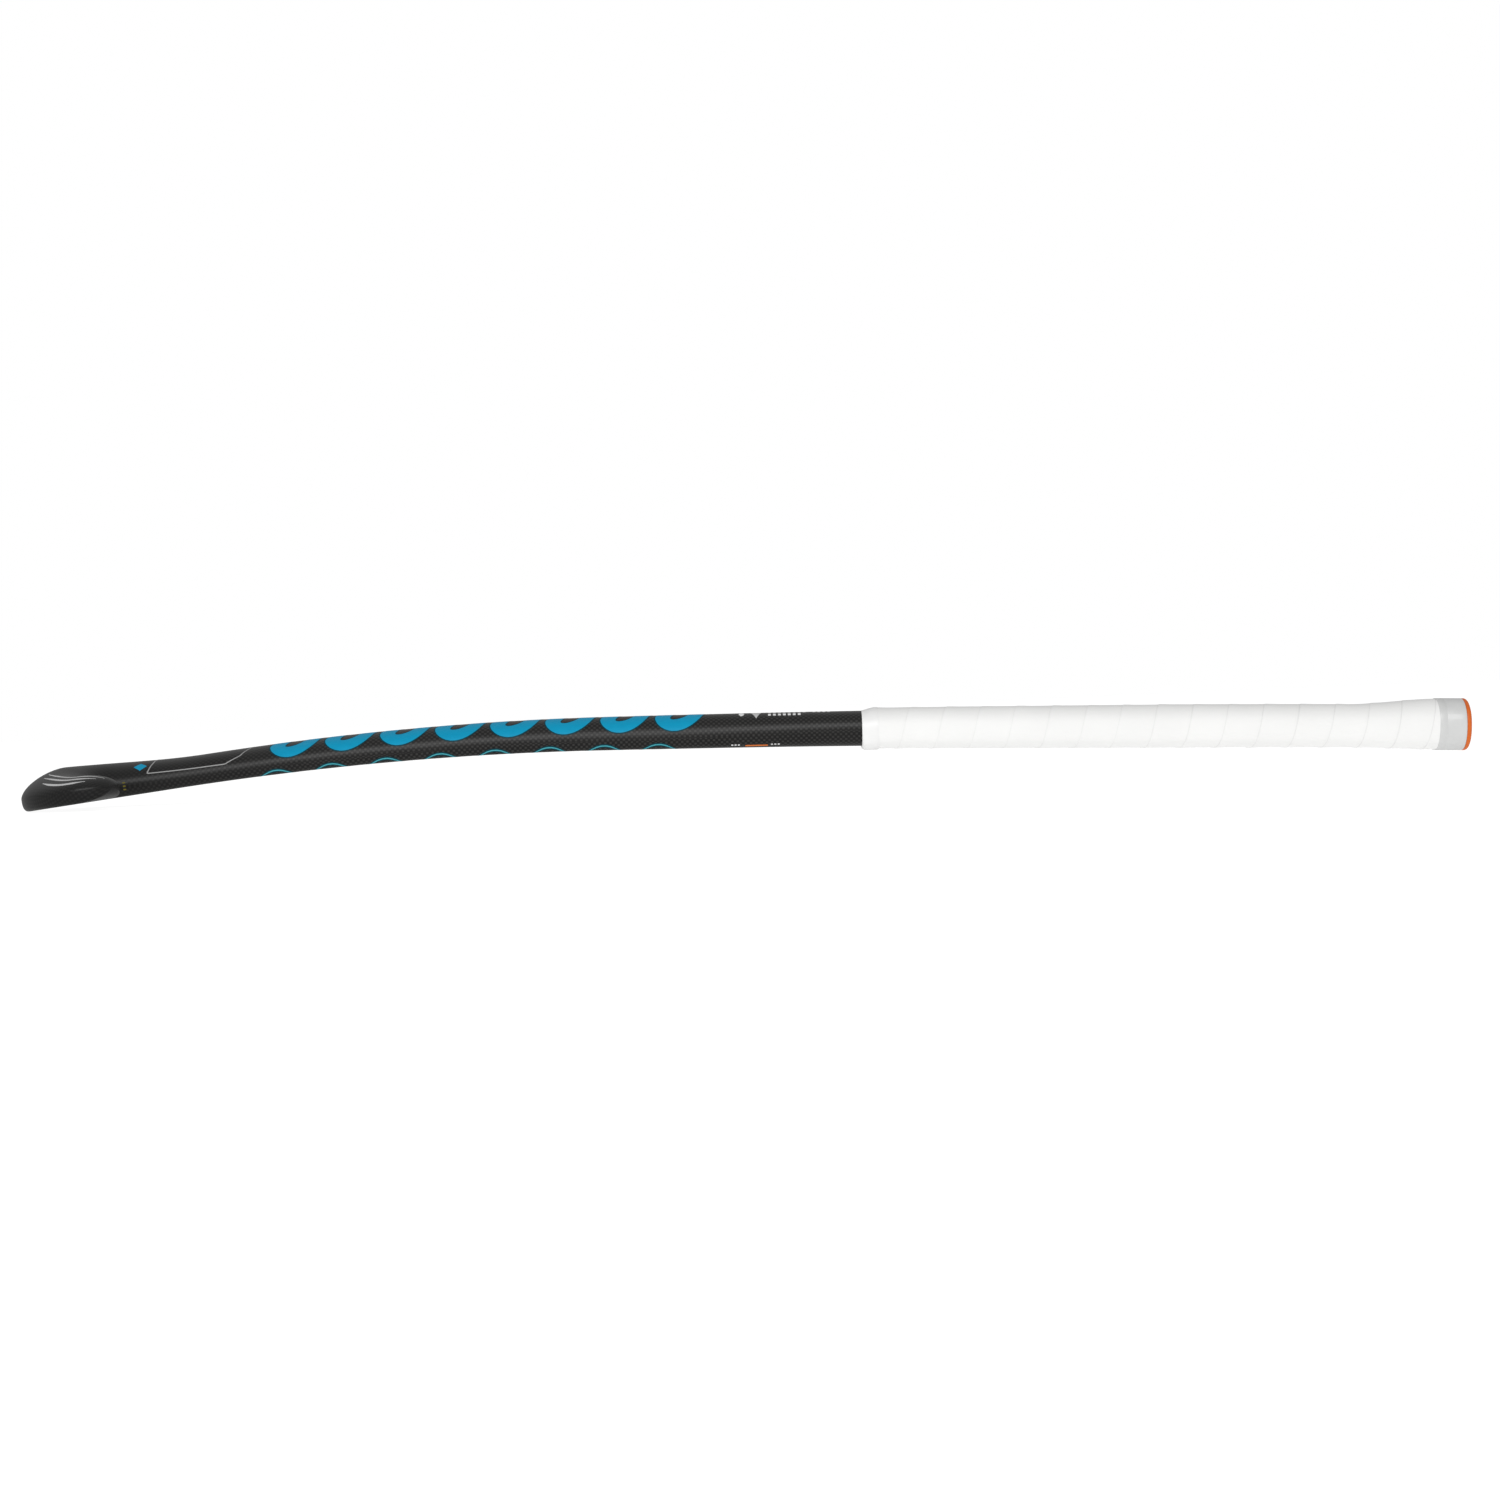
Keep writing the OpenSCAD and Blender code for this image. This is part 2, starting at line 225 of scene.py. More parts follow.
GIRTH_Q = np.arange(math.floor(HOOK_Q), STICK_LEN + 3)
GIRTH_W = np.linspace(0, 3, 301)
_a, _h = section(GIRTH_Q[:, None], GIRTH_W[None, :])
GIRTH = np.concatenate([np.zeros((len(GIRTH_Q), 1)), np.cumsum(
    np.hypot(np.diff(_a, axis=1), np.diff(_h, axis=1)), axis=1)], axis=1)


def girth_row(q):
    row = np.clip(int(round(float(q) - GIRTH_Q[0])), 0, len(GIRTH_Q) - 1)
    return GIRTH[row]


def girth_at(q, w):
    return float(np.interp(w, GIRTH_W, girth_row(q)))


def half_girth(q):
    return float(girth_row(q)[-1])


def w_of(q, g):
    """The w of points at girth g. Every value is blended between two stations of the table."""
    q, g = np.broadcast_arrays(np.asarray(q, float), np.asarray(g, float))
    flat_q, flat_g = q.ravel(), g.ravel()
    at = np.clip(flat_q - GIRTH_Q[0], 0, len(GIRTH_Q) - 1.001)
    low = at.astype(int)
    out = np.empty(len(flat_q))
    for i, (k, x) in enumerate(zip(low, flat_g)):
        near = np.interp(abs(x), GIRTH[k], GIRTH_W)
        far = np.interp(abs(x), GIRTH[k + 1], GIRTH_W)
        out[i] = math.copysign(near + (far - near) * (at[i] - k), x)
    return out.reshape(q.shape)


def even_ring(q, n):
    """n values of w at even distances round the section, from the middle of the face."""
    g = (np.arange(n) / n * 2 - 1) * half_girth(q)
    return w_of(np.full(n, q), g)


# ---- Meshes

def mesh_object(name, points, faces, smooth=True):
    mesh = bpy.data.meshes.new(name)
    mesh.from_pydata([tuple(p) for p in points], [], faces)
    mesh.validate()
    if smooth:
        mesh.shade_smooth()
    mesh.update()
    ob = bpy.data.objects.new(name, mesh)
    bpy.context.scene.collection.objects.link(ob)
    return ob


def quads(rows, n, start=0, flip=False):
    """Faces of a grid of rows rings with n points each."""
    out = []
    for i in range(rows - 1):
        for j in range(n):
            a, b = start + i * n + j, start + i * n + (j + 1) % n
            face = (a, b, b + n, a + n)
            out.append(face[::-1] if flip else face)
    return out


def eased(q, w, depth):
    """What stands proud at the grip's lower end rises gently from the shaft on the back."""
    low = (1 - blend(q, GRIP_START, GRIP_START + 9)) * (1 - blend(np.abs(w), 0.8, 1.6))
    return np.where(depth < 0, depth * (1 - 0.85 * low), depth)


def tube(name, profile, n=96, bulge=0.0):
    """A ring round the stick: profile is a closed loop of (q, depth), swept round the section.
    What stands proud of the tape stands out by bulge more on the side of the face."""
    rings = []
    for q, depth in profile:
        w = even_ring(q, n)
        more = bulge * blend(-depth, -TAPE_OUT, -BAND_OUT) * blend(np.abs(w), 1.2, 2.6)
        rings.append(skin(np.full(n, q), w, eased(q, w, depth - more)))
    rows = len(rings)
    last = rows * n - n
    faces = quads(rows, n, flip=True) + [(j, (j + 1) % n, last + (j + 1) % n, last + j)
                                         for j in range(n)]
    return mesh_object(name, np.concatenate(rings), faces)


def sharp_by_angle(ob, degrees):
    ob.data.set_sharp_from_angle(angle=math.radians(degrees))


def merge_close(ob, distance):
    """Joins points that fall together, and drops the faces that this leaves without an area."""
    bm = bmesh.new()
    bm.from_mesh(ob.data)
    bmesh.ops.remove_doubles(bm, verts=bm.verts, dist=distance)
    bmesh.ops.dissolve_degenerate(bm, dist=distance, edges=bm.edges)
    loose = [v for v in bm.verts if not v.link_faces]
    bmesh.ops.delete(bm, geom=loose, context="VERTS")
    bmesh.ops.recalc_face_normals(bm, faces=bm.faces)
    bm.to_mesh(ob.data)
    bm.free()
    ob.data.update()


# ---- Materials

def principled(name, **values):
    """A material whose even values are set on its shader. Returns it, its tree and the shader."""
    mat = bpy.data.materials.new(name)
    mat.use_nodes = True
    tree = mat.node_tree
    shader = tree.nodes["Principled BSDF"]
    for key, value in values.items():
        shader.inputs[key.replace("_", " ")].default_value = value
    return mat, tree, shader


def node(tree, kind, links=None, **settings):
    """A shader node with its settings, and its inputs either linked or set."""
    made = tree.nodes.new("ShaderNode" + kind)
    for key, value in settings.items():
        setattr(made, key, value)
    for key, value in (links or {}).items():
        if hasattr(value, "is_output") and value.is_output:
            tree.links.new(value, made.inputs[key])
        else:
            made.inputs[key].default_value = value
    return made


def math_node(tree, operation, *values):
    return node(tree, "Math", dict(enumerate(values)), operation=operation).outputs[0]


def mixed_colour(tree, share, a, b):
    mix = node(tree, "Mix", data_type="RGBA")
    for socket, value in ((0, share), (6, a), (7, b)):
        if hasattr(value, "is_output"):
            tree.links.new(value, mix.inputs[socket])
        else:
            mix.inputs[socket].default_value = value
    return mix.outputs[2]


def noise(tree, scale, detail):
    place = node(tree, "TexCoord").outputs["Object"]
    links = {"Scale": scale, "Detail": detail, "Roughness": 0.5, "Vector": place}
    return node(tree, "TexNoise", links).outputs["Fac"]


def bump(tree, shader, height, strength, distance):
    made = node(tree, "Bump", {"Height": height, "Strength": strength, "Distance": distance})
    tree.links.new(made.outputs[0], shader.inputs["Normal"])


def rgba(r, g, b):
    return (r, g, b, 1.0)


def carbon_material():
    """Plain cloth of flat carbon tows under a satin clear coat. The weave map is in millimetres."""
    tow = 1.7
    mat, tree, shader = principled(
        "carbon_cloth", Roughness=0.4, Coat_Weight=0.14, Coat_Roughness=0.28,
        Specular_IOR_Level=0.2)
    split = node(tree, "SeparateXYZ", {0: node(tree, "UVMap", uv_map="weave").outputs[0]})
    s, t = (math_node(tree, "DIVIDE", split.outputs[k], tow) for k in (0, 1))
    cell = math_node(tree, "ADD", math_node(tree, "FLOOR", s), math_node(tree, "FLOOR", t))
    warp = math_node(tree, "LESS_THAN", math_node(tree, "FLOORED_MODULO", cell, 2.0), 0.5)
    arch_s, arch_t = (math_node(tree, "SINE", math_node(
        tree, "MULTIPLY", math_node(tree, "FRACT", x), math.pi)) for x in (s, t))
    across = node(tree, "Mix", {0: warp, 2: arch_s, 3: arch_t}, data_type="FLOAT").outputs[0]
    along = node(tree, "Mix", {0: warp, 2: arch_t, 3: arch_s}, data_type="FLOAT").outputs[0]
    crown = math_node(tree, "MULTIPLY", math_node(tree, "POWER", across, 0.4),
                      math_node(tree, "POWER", along, 0.25))
    # The weave's two tones are painted sheen on the same black tows, and the darker grooves between
    # the tows are painted shade
    tow_sheen = mixed_colour(tree, warp, rgba(0.005, 0.005, 0.0049), rgba(0.034, 0.033, 0.0315))
    groove_shaded = mixed_colour(tree, crown, rgba(0.003, 0.003, 0.003), tow_sheen)
    cloud = noise(tree, 38.0, 3.0)
    worn = mixed_colour(tree, math_node(tree, "MULTIPLY", cloud, 0.25), groove_shaded,
                        rgba(0.028, 0.027, 0.026))
    # Painted shade: the cloth is darker towards the head, which lies at the low end of x
    x = node(tree, "SeparateXYZ", {0: node(tree, "TexCoord").outputs["Object"]}).outputs[0]
    unshaded_share = node(tree, "MapRange", {"Value": x, "From Min": -0.42, "From Max": -0.26,
                                   "To Min": 0.3, "To Max": 1.0}).outputs[0]
    head_shaded = mixed_colour(tree, unshaded_share, rgba(0.006, 0.006, 0.006), worn)
    tree.links.new(head_shaded, shader.inputs["Base Color"])
    bump(tree, shader, crown, 0.3, 0.00008)
    return mat


def grip_material():
    """Tacky white tape with a fine grain, greyed by painted shade in the seams between its turns.
    """
    mat, tree, shader = principled("grip_white", Roughness=0.55, Specular_IOR_Level=0.35)
    seam_shade = node(tree, "Attribute", attribute_name="seam_shade").outputs["Fac"]
    patchy = noise(tree, 30.0, 3.0)
    base = mixed_colour(tree, patchy, rgba(0.80, 0.80, 0.79), rgba(0.86, 0.86, 0.85))
    colour = mixed_colour(tree, seam_shade, base, rgba(0.50, 0.50, 0.50))
    tree.links.new(colour, shader.inputs["Base Color"])
    place = node(tree, "TexCoord").outputs["Object"]
    grain = node(tree, "TexVoronoi", {"Scale": 2200.0, "Vector": place})
    rough = math_node(tree, "ADD", grain.outputs["Distance"], noise(tree, 420.0, 3.0))
    bump(tree, shader, rough, 0.25, 0.00012)
    return mat


def tape_material():
    """Smooth finishing tape with faint stretch lines round the handle."""
    mat, tree, shader = principled("finishing_white", Roughness=0.4, Coat_Weight=0.15)
    patchy = noise(tree, 90.0, 3.0)
    colour = mixed_colour(tree, patchy, rgba(0.78, 0.78, 0.78), rgba(0.88, 0.88, 0.87))
    tree.links.new(colour, shader.inputs["Base Color"])
    bump(tree, shader, noise(tree, 240.0, 4.0), 0.2, 0.0002)
    return mat


def collar_material():
    mat, tree, shader = principled("collar_grey", Roughness=0.36, Coat_Weight=0.2)
    patchy = noise(tree, 120.0, 3.0)
    colour = mixed_colour(tree, patchy, rgba(0.57, 0.575, 0.57), rgba(0.65, 0.655, 0.65))
    tree.links.new(colour, shader.inputs["Base Color"])
    bump(tree, shader, noise(tree, 500.0, 3.0), 0.15, 0.0001)
    return mat


def orange_material():
    mat, tree, shader = principled("orange_rubber", Roughness=0.45, Specular_IOR_Level=0.4)
    patchy = noise(tree, 200.0, 4.0)
    colour = mixed_colour(tree, patchy, rgba(0.60, 0.105, 0.008), rgba(0.71, 0.15, 0.015))
    tree.links.new(colour, shader.inputs["Base Color"])
    bump(tree, shader, noise(tree, 900.0, 3.0), 0.3, 0.0001)
    return mat


def ink_material(name, dark, light):
    """Printed ink under the same clear coat, slightly uneven where it covers the weave."""
    mat, tree, shader = principled(name, Roughness=0.5, Coat_Weight=0.05, Coat_Roughness=0.3,
                                    Specular_IOR_Level=0.12)
    tree.links.new(mixed_colour(tree, noise(tree, 260.0, 3.0), rgba(*dark), rgba(*light)),
                   shader.inputs["Base Color"])
    bump(tree, shader, noise(tree, 700.0, 2.0), 0.1, 0.00005)
    return mat


def plain_material(name, dark, light, scale, roughness, depth):
    """Foam, ply or tube inside the stick: two tones and a grain."""
    mat, tree, shader = principled(name, Roughness=roughness)
    tree.links.new(mixed_colour(tree, noise(tree, scale, 4.0), rgba(*dark), rgba(*light)),
                   shader.inputs["Base Color"])
    bump(tree, shader, noise(tree, scale * 2, 3.0), 0.5, depth)
    return mat


# ---- Camera: level with the stick, on the side of the toe, turned a little about its own axis

def make_camera():
    distance, focal, frame_side = 1.9, 2930.5, 1500.0
    turn, climb, roll = math.radians(0.27), math.radians(1.03), math.radians(2.381)
    shaft_y = cad_box[1][1] - HEAD_W / 2 * MM
    target = Vector((-0.0011, shaft_y, 0.01928))
    ahead = Vector((math.cos(climb) * math.sin(turn), math.cos(climb) * math.cos(turn),
                    -math.sin(climb)))
    right = Vector((math.cos(turn), -math.sin(turn), 0))
    up = right.cross(ahead)
    x_axis = math.cos(roll) * right - math.sin(roll) * up
    y_axis = math.sin(roll) * right + math.cos(roll) * up
    camera = bpy.data.objects.new("camera", bpy.data.cameras.new("camera"))
    bpy.context.scene.collection.objects.link(camera)
    camera.matrix_world = Matrix.Translation(target - distance * ahead) @ Matrix(
        (x_axis, y_axis, -ahead)).transposed().to_4x4()
    camera.data.sensor_width = 36.0
    camera.data.lens = 36.0 * focal / frame_side
    camera.data.clip_end = 30.0
    bpy.context.scene.camera = camera


make_camera()


# ---- The laminate skin: a dense loft with a weave map

def laminate():
    around, inner_count = 128, 40
    stations = np.concatenate([
        np.linspace(BUTT_END, GRIP_START + 0.2, 30), np.linspace(GRIP_START, HOOK_U, 121),
        np.linspace(HOOK_U, HOOK_Q, 41)[1:],
        HOOK_Q - TIP_LEN * np.sin(np.linspace(0, math.pi / 2, 17)[1:-1])])
    outer = len(stations)
    rows, back_map, face_map, back_side = [], [], [], []
    for q in stations:
        w = even_ring(max(q, HOOK_Q), around)
        qs = np.full(around, q)
        rows.append(skin(qs, w, skin_depth(qs)))
        # The cloth is unrolled from the middle of the back, and again from that of the face
        g = np.sign(w) * np.interp(np.abs(w), GIRTH_W, girth_row(q))
        f = np.sign(w) * (half_girth(q) - np.abs(g))
        for cloth, reach in ((back_map, g), (face_map, f)):
            u, v, _ = laid_out(np.maximum(qs, HOOK_Q), reach, 0.0, np.maximum(HOOK_Q - qs, 0))
            cloth.append(np.stack([u, v], -1))
        back_side.append(np.abs(w) <= 1)
    tip = skin(np.array([HOOK_Q - TIP_LEN + 1e-6]), np.zeros(1))
    for q in np.linspace(BUTT_END, HOOK_U, inner_count):
        qs = np.full(around, q)
        rows.append(skin(qs, even_ring(q, around), cavity_depth(qs)))
    points = np.concatenate(rows + [tip])
    faces = quads(outer, around)
    last, first = (outer - 1) * around, outer * around
    end = first + (inner_count - 1) * around
    faces += [(last + j, last + (j + 1) % around, len(points) - 1) for j in range(around)]
    faces += quads(inner_count, around, first, flip=True)
    faces += [(j, first + j, first + (j + 1) % around, (j + 1) % around) for j in range(around)]
    faces.append(tuple(end + j for j in range(around))[::-1])
    ob = mesh_object("laminate_skin", points, faces)

    plain = np.zeros((len(points) - first, 2))
    maps = [np.concatenate(cloth + [plain]) for cloth in (back_map, face_map)]
    on_back = np.concatenate(back_side + [np.ones(len(plain), bool)])
    uv = np.zeros((len(ob.data.loops), 2), np.float32)
    for polygon in ob.data.polygons:
        corners = list(polygon.vertices)
        cloth = maps[0] if on_back[corners].sum() * 2 >= len(corners) else maps[1]
        uv[list(polygon.loop_indices)] = cloth[corners]
    ob.data.uv_layers.new(name="weave").data.foreach_set("uv", uv.ravel())
    ob.data.materials.append(carbon_material())
    sharp_by_angle(ob, 50)
    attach(ob, "root")
    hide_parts("outer_laminate")


laminate()


# ---- The grip: one strip of tape wound in lapped turns over a foam sleeve

def wound_tape():
    """The outer surface is a grid that follows the strip, so the lapped edge of every turn is
    crisp: within a turn it steps up at the edge, falls over the lap, then runs level."""
    pitch, phase, step, around = 22.9, 9.2, 0.22, 96
    pull, pull_run, faint, inner_rows = 4.0, (850, 910), 0.35, 40
    first, last = GRIP_START + TAPE_START, BUTT_END - FIT
    # Along a turn as a share of the pitch, height as a share of the step, and painted shade in the
    # seam
    shape = [(0.0, 0.0, 0.3), (0.01, 0.7, 0.2), (0.024, 1.0, 0.03), (0.06, 0.97, 0.0),
             (0.16, 0.72, 0.0), (0.26, 0.34, 0.0), (0.36, 0.08, 0.0), (0.48, 0.0, 0.0),
             (0.66, 0.0, 0.0), (0.84, 0.01, 0.0), (0.98, 0.02, 0.03)]
    n = len(shape)
    turns = int((last - first) / pitch) + 3
    rows = turns * around
    points, seam_shade = [], []
    for i in range(rows + 1):
        turn = i / around
        share = turn % 1.0
        wander = 0.2 * math.sin(1.4 * math.pi * turn) + 0.1 * math.sin(5.3 * turn)
        for j, (along, rise, dark) in enumerate(shape):
            q = first + phase + (turn - 1.5 + along) * pitch + wander
            q -= pull * blend(q, *pull_run)
            cut = np.clip(q, first, last)
            fade = blend(cut, first, first + 3) * (1 - blend(cut, last - 1.0, last))
            wrinkle = 0.05 * math.sin(9.1 * turn + 3.0 * along) * math.sin(23.7 * turn)
            g = (share * 2 - 1) * half_girth(cut)
            points.append((cut, g, TAPE_OUT - (step * rise + wrinkle) * fade))
            # Painted shade in the seam, fainter towards the lower end of the grip
            seam_shade.append(dark * fade * (faint + (1 - faint) * blend(q, 600, 880)))
    data = np.array(points)
    w = w_of(data[:, 0], data[:, 1])
    places = skin(data[:, 0], w, eased(data[:, 0], w, data[:, 2]))
    faces = []
    for i in range(rows):
        for j in range(n - 1):
            a = i * n + j
            faces.append((a, a + 1, a + n + 1, a + n))
        up = (i + around) * n
        if i + 1 + around <= rows:
            a = i * n + n - 1
            faces.append((a, up, up + n, a + n))
    inner = []
    for q in np.linspace(first, last, inner_rows):
        ring = even_ring(q, around)
        inner.append(skin(np.full(around, q), ring, eased(q, ring, CUSHION_OUT - FIT)))
    start = len(places)
    outer_ends = []
    for q in (first, last):
        ring = even_ring(q, around)
        outer_ends.append(skin(np.full(around, q), ring, eased(q, ring, TAPE_OUT)))
    places = np.concatenate([places] + inner + outer_ends)
    faces += quads(inner_rows, around, start)
    ends = start + inner_rows * around
    for ring, edge, flip in ((ends, start, False), (ends + around, ends - around, True)):
        for j in range(around):
            k = (j + 1) % around
            face = (ring + j, ring + k, edge + k, edge + j)
            faces.append(face[::-1] if flip else face)
    ob = mesh_object("grip_winding", places, faces)
    shade = ob.data.attributes.new("seam_shade", "FLOAT", "POINT")
    shade.data.foreach_set("value", np.array(seam_shade + [0.0] * (len(places) - len(seam_shade)), np.float32))
    merge_close(ob, 2e-7)
    sharp_by_angle(ob, 40)
    ob.data.materials.append(grip_material())
    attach(ob, "root")
    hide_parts("grip_tape")


wound_tape()


def sleeve_and_bands():
    """Foam sleeve under the tape, finishing tape at its lower end and collar at the butt."""
    start, end, inner = GRIP_START + CUSHION_START, BUTT_END - FIT, REBATE - FIT
    cushion = tube("foam_sleeve", [(start, inner)]
                   + [(q, CUSHION_OUT) for q in np.linspace(start, end, 30)]
                   + [(q, inner) for q in np.linspace(end, GRIP_START + 20, 29)])
    cushion.data.materials.append(plain_material(
        "cushion_foam", (0.72, 0.70, 0.63), (0.82, 0.80, 0.74), 900.0, 0.85, 0.0002))
    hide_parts("grip_cushion")

    q0, q1 = GRIP_START + BAND_START, GRIP_START + FINISH_LEN
    low = TAPE_OUT + 0.02
    band = tube("finishing_band", [
        (q0, REBATE - 0.3), (q0 - 0.1, 0.0), (q0, TAPE_OUT * 0.6), (q0 + 0.6, BAND_OUT + 0.3),
        (q0 + 1.8, BAND_OUT), (q0 + 5.0, BAND_OUT - 0.06), (q1 - 3.0, BAND_OUT),
        (q1 - 0.5, BAND_OUT + 0.04), (q1, BAND_OUT + 0.25), (q1 + 0.02, low), (q0 + 4, low),
        (q0 + 0.9, TAPE_OUT * 0.5)], bulge=0.5)
    band.data.materials.append(tape_material())
    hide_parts("finishing_tape")

    c0, c1 = BUTT_END - COLLAR_LEN, BUTT_END - FIT
    collar = tube("collar_ring", [
        (c0, low), (c0 + 0.02, BAND_OUT + 0.25), (c0 + 0.35, BAND_OUT + 0.05),
        (c0 + 1.0, BAND_OUT), (c0 + 4.6, BAND_OUT), (c0 + 4.8, BAND_OUT + 0.1),
        (c0 + 5.1, BAND_OUT + 0.1), (c0 + 5.3, BAND_OUT), (c1 - 0.9, BAND_OUT),
        (c1 - 0.2, BAND_OUT + 0.08), (c1, BAND_OUT + 0.3), (c1, low)])
    collar.data.materials.append(collar_material())
    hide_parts("butt_collar")
    for ob in (cushion, band, collar):
        sharp_by_angle(ob, 45)
        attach(ob, "root")


sleeve_and_bands()


def end_disc():
    """The orange disc with a domed rim, a ring groove and a dished middle, and its spigot."""
    n = 96
    # Station from the butt, depth below full size, and scale
    rims = [(0.05, 0.3, 1.0), (0.3, 0.05, 1.0), (0.8, 0.0, 1.0), (1.7, 0.05, 1.0), (2.3, 0.35, 1.0),
            (2.8, 0.9, 1.0), (3.15, 1.7, 1.0), (3.4, 2.8, 1.0), (3.55, 4.6, 1.0), (CAP_T, 0, 0.62),
            (CAP_T - 0.25, 0, 0.6), (CAP_T - 0.25, 0, 0.56), (CAP_T, 0, 0.54), (CAP_T, 0, 0.36),
            (CAP_T - 0.3, 0, 0.3), (CAP_T - 0.4, 0, 0.18)]
    rings = []
    for along, depth, scale in rims:
        q = BUTT_END + along
        rings.append(skin(np.full(n, q), even_ring(BUTT_END, n), BAND_OUT + depth, scale))
    rings = rings[::-1]
    middle = rings[0].mean(axis=0)
    rows = len(rings)
    faces = [(j, rows * n, (j + 1) % n) for j in range(n)] + quads(rows, n)
    faces = [f[::-1] for f in faces]
    points = np.concatenate(rings + [middle[None]])
    back = len(points)
    face_line = skin(np.array([BUTT_END - SPIGOT_LEN, BUTT_END]), np.full(2, 3.0))
    axis = face_line[0] - face_line[1]
    axis /= np.linalg.norm(axis)
    across = np.array([0.0, 1.0, 0.0])
    upward = np.cross(axis, across)
    base = skin(np.full(2, BUTT_END + 0.05), np.array([0.0, 3.0])).mean(axis=0)
    turn = np.linspace(0, 2 * math.pi, n, endpoint=False) + math.pi
    circle = np.sin(turn)[:, None] * across + np.cos(turn)[:, None] * upward
    bevel = 0.8
    spigot = [(0.0, SPIGOT_R), (SPIGOT_LEN - bevel, SPIGOT_R), (SPIGOT_LEN, SPIGOT_R - bevel)]
    for reach, radius in spigot:
        points = np.concatenate([points, base + axis * reach * MM + radius * MM * circle])
    rim = (rows - 1) * n
    for j in range(n):
        k = (j + 1) % n
        faces.append((rim + j, rim + k, back + k, back + j))
    for i in range(len(spigot) - 1):
        for j in range(n):
            k = (j + 1) % n
            a = back + i * n
            faces.append((a + j, a + k, a + n + k, a + n + j))
    faces.append(tuple(len(points) - n + j for j in range(n)))
    ob = mesh_object("end_disc", points, faces)
    merge_close(ob, 1e-7)
    sharp_by_angle(ob, 40)
    ob.data.materials.append(orange_material())
    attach(ob, "root")
    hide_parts("end_cap")


end_disc()


# ---- Printed graphics: thin closed strips that lie on the skin. Paths are (q, g) on the back,
# or (q, f) on the face, in millimetres.

def resampled(path, spacing):
    path = np.array(path, float)
    lengths = np.concatenate([[0], np.cumsum(np.hypot(*np.diff(path, axis=0).T))])
    at = np.linspace(0, lengths[-1], max(2, int(lengths[-1] / spacing)) + 1)
    return np.stack([np.interp(at, lengths, path[:, k]) for k in (0, 1)], -1)


def strip(name, path, stroke, proud, material, closed=False, face=False, spacing=0.9):
    """A strip along path, standing proud of the skin and sunk as deep below it. stroke is its
    width, or its widths at even steps from one end to the other."""
    line = resampled(path, spacing)
    if closed:
        line = line[:-1]
        along = np.roll(line, -1, axis=0) - np.roll(line, 1, axis=0)
    else:
        along = np.gradient(line, axis=0)
    along /= np.linalg.norm(along, axis=1)[:, None]
    left = np.stack([-along[:, 1], along[:, 0]], -1)
    widths = np.atleast_1d(stroke)
    widths = np.interp(np.linspace(0, 1, len(line)), np.linspace(0, 1, len(widths)), widths)
    across = max(2, int(math.ceil(widths.max() / 0.7)) + 1)
    offsets = widths[:, None] * np.linspace(-0.5, 0.5, across)
    spread = line[:, None, :] + left[:, None, :] * offsets[..., None]
    q, g = spread[..., 0], spread[..., 1]
    if face:
        half = np.array([half_girth(x) for x in q.ravel()]).reshape(q.shape)
        g = np.where(g >= 0, 1, -1) * (half - np.abs(g))
    w = w_of(q, g)
    top = skin(q, w, -proud)
    low = skin(q, w, proud)
    ring = np.concatenate([top, low[:, ::-1]], axis=1)
    rows, n = ring.shape[:2]
    faces = quads(rows, n)
    if closed:
        faces += [(rows * n - n + j, rows * n - n + (j + 1) % n, (j + 1) % n, j) for j in range(n)]
    else:
        faces += [tuple(range(n))[::-1], tuple(rows * n - n + j for j in range(n))]
    ob = mesh_object(name, ring.reshape(-1, 3), faces)
    merge_close(ob, 1e-8)
    sharp_by_angle(ob, 40)
    ob.data.materials.append(material)
    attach(ob, "root")
    return ob


def arc(centre, radius, start, end, n=14):
    turns = np.radians(np.linspace(start, end, n))
    return [(centre[0] + radius * math.cos(a), centre[1] + radius * math.sin(a)) for a in turns]


def meander(first, pitch, loops, wide_loop, reach, slant):
    """A winding line along the stick. Its wide loops face the toe, and reach(q) is how far its
    middle goes to each side."""
    narrow = (pitch - wide_loop) / 2
    wide = wide_loop / 2
    path = [(first - wide, 0.0)]
    for k in range(loops):
        q = first + k * pitch
        path += arc((q, -(reach(q) - wide)), wide, 180, 360)
        if k < loops - 1:
            path += arc((q + pitch / 2, reach(q) - narrow), narrow, 180, 0)
    path.append((first + (loops - 1) * pitch + wide, 0.0))
    return [(q + slant * g, g) for q, g in path]


BLUE_INK = ink_material("blue_ink", (0.0005, 0.255, 0.445), (0.001, 0.305, 0.51))
TEAL_INK = ink_material("teal_ink", (0.0006, 0.030, 0.042), (0.001, 0.042, 0.058))
LINE_INK = ink_material("line_ink", (0.045, 0.28, 0.33), (0.06, 0.36, 0.42))
GREY_INK = ink_material("grey_ink", (0.28, 0.28, 0.28), (0.36, 0.36, 0.36))
PALE_INK = ink_material("pale_ink", (0.46, 0.46, 0.46), (0.56, 0.56, 0.56))
WHITE_INK = ink_material("white_ink", (0.70, 0.70, 0.70), (0.80, 0.80, 0.80))
YELLOW_INK = ink_material("yellow_ink", (0.10, 0.085, 0.012), (0.14, 0.115, 0.016))
ORANGE_INK = ink_material("orange_ink", (0.55, 0.13, 0.02), (0.65, 0.17, 0.03))


def back_ribbon():
    first, pitch, loops, stroke, slant = 174.0, 35.0, 8, 9.6, 0.32

    def reach(q):
        return girth_at(q, 0.8) - stroke / 2

    path = meander(first, pitch, loops, 20.0, reach, slant)
    strip("back_ribbon", path, stroke, 0.08, BLUE_INK)
    strip("ribbon_rim", path, stroke + 1.7, 0.045, TEAL_INK)


